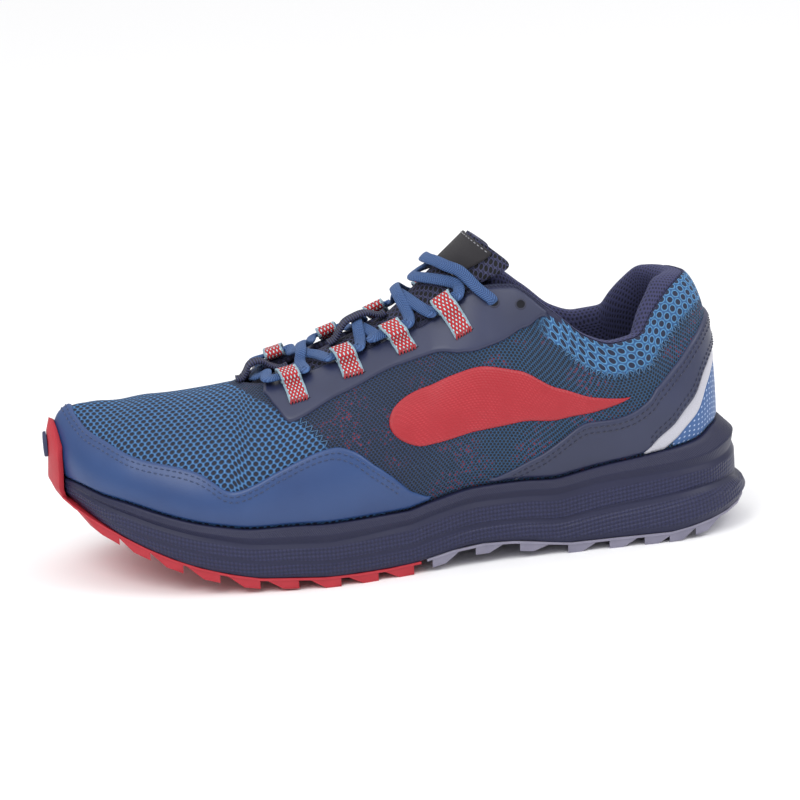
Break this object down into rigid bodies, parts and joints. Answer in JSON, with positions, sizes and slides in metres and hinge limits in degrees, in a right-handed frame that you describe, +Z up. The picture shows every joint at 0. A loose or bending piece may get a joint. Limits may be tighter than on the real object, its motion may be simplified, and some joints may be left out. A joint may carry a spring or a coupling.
{
  "type": "trail running shoe",
  "caption": "Low lace-up trail-running shoe for the left foot, with a mesh upper, bonded film overlays, webbing lace loops, a thick foam midsole and a lugged rubber sole.",
  "frame": {"origin": "on the ground under the flat of the heel, on the middle line of the heel", "axes": "+X to the toe, +Y to the outer (lateral) side of a left shoe, +Z up"},
  "size_m": [0.3029, 0.1116, 0.1343],
  "materials": {
    "upper_mesh": "knitted mesh, matt",
    "midsole_foam": "moulded foam, satin",
    "insole_foam": "cloth-faced foam, matt",
    "rand_film": "bonded film, satin",
    "overlay_film": "bonded film, matt",
    "panel_film": "bonded film, satin",
    "reflective_film": "reflective film, satin",
    "patch_mesh": "coated cloth, matt",
    "lining_cloth": "padded textile, matt",
    "tongue_mesh": "open mesh, matt",
    "label_cloth": "woven cloth, matt",
    "red_rubber": "moulded, matt",
    "grey_rubber": "moulded, matt",
    "badge_rubber": "moulded, matt",
    "keeper_tape": "ribbed tape, matt",
    "loop_webbing": "woven webbing, matt",
    "lace_cord": "flat braided cord, matt"
  },
  "bodies": {
    "root": {"upper": "upper_mesh", "midsole": "midsole_foam", "insole": "insole_foam", "toe_rand": "rand_film", "eyestay_lateral": "overlay_film", "eyestay_medial": "overlay_film", "heel_overlay": "overlay_film", "quarter_panel_lateral": "panel_film", "quarter_panel_medial": "panel_film", "heel_strip": "reflective_film", "heel_patch": "patch_mesh", "collar_pad": "lining_cloth", "tongue": "tongue_mesh", "tongue_label": "label_cloth", "outsole_forefoot": "red_rubber", "outsole_rear": "grey_rubber", "toe_badge": "badge_rubber", "keeper_front": "keeper_tape", "keeper_middle": "keeper_tape", "lace_loop_lateral_1": "loop_webbing", "lace_loop_lateral_2": "loop_webbing", "lace_loop_lateral_3": "loop_webbing", "lace_loop_lateral_4": "loop_webbing", "lace_loop_medial_1": "loop_webbing", "lace_loop_medial_2": "loop_webbing", "lace_loop_medial_3": "loop_webbing", "lace_loop_medial_4": "loop_webbing", "lace": "lace_cord"}
  },
  "joints": []
}
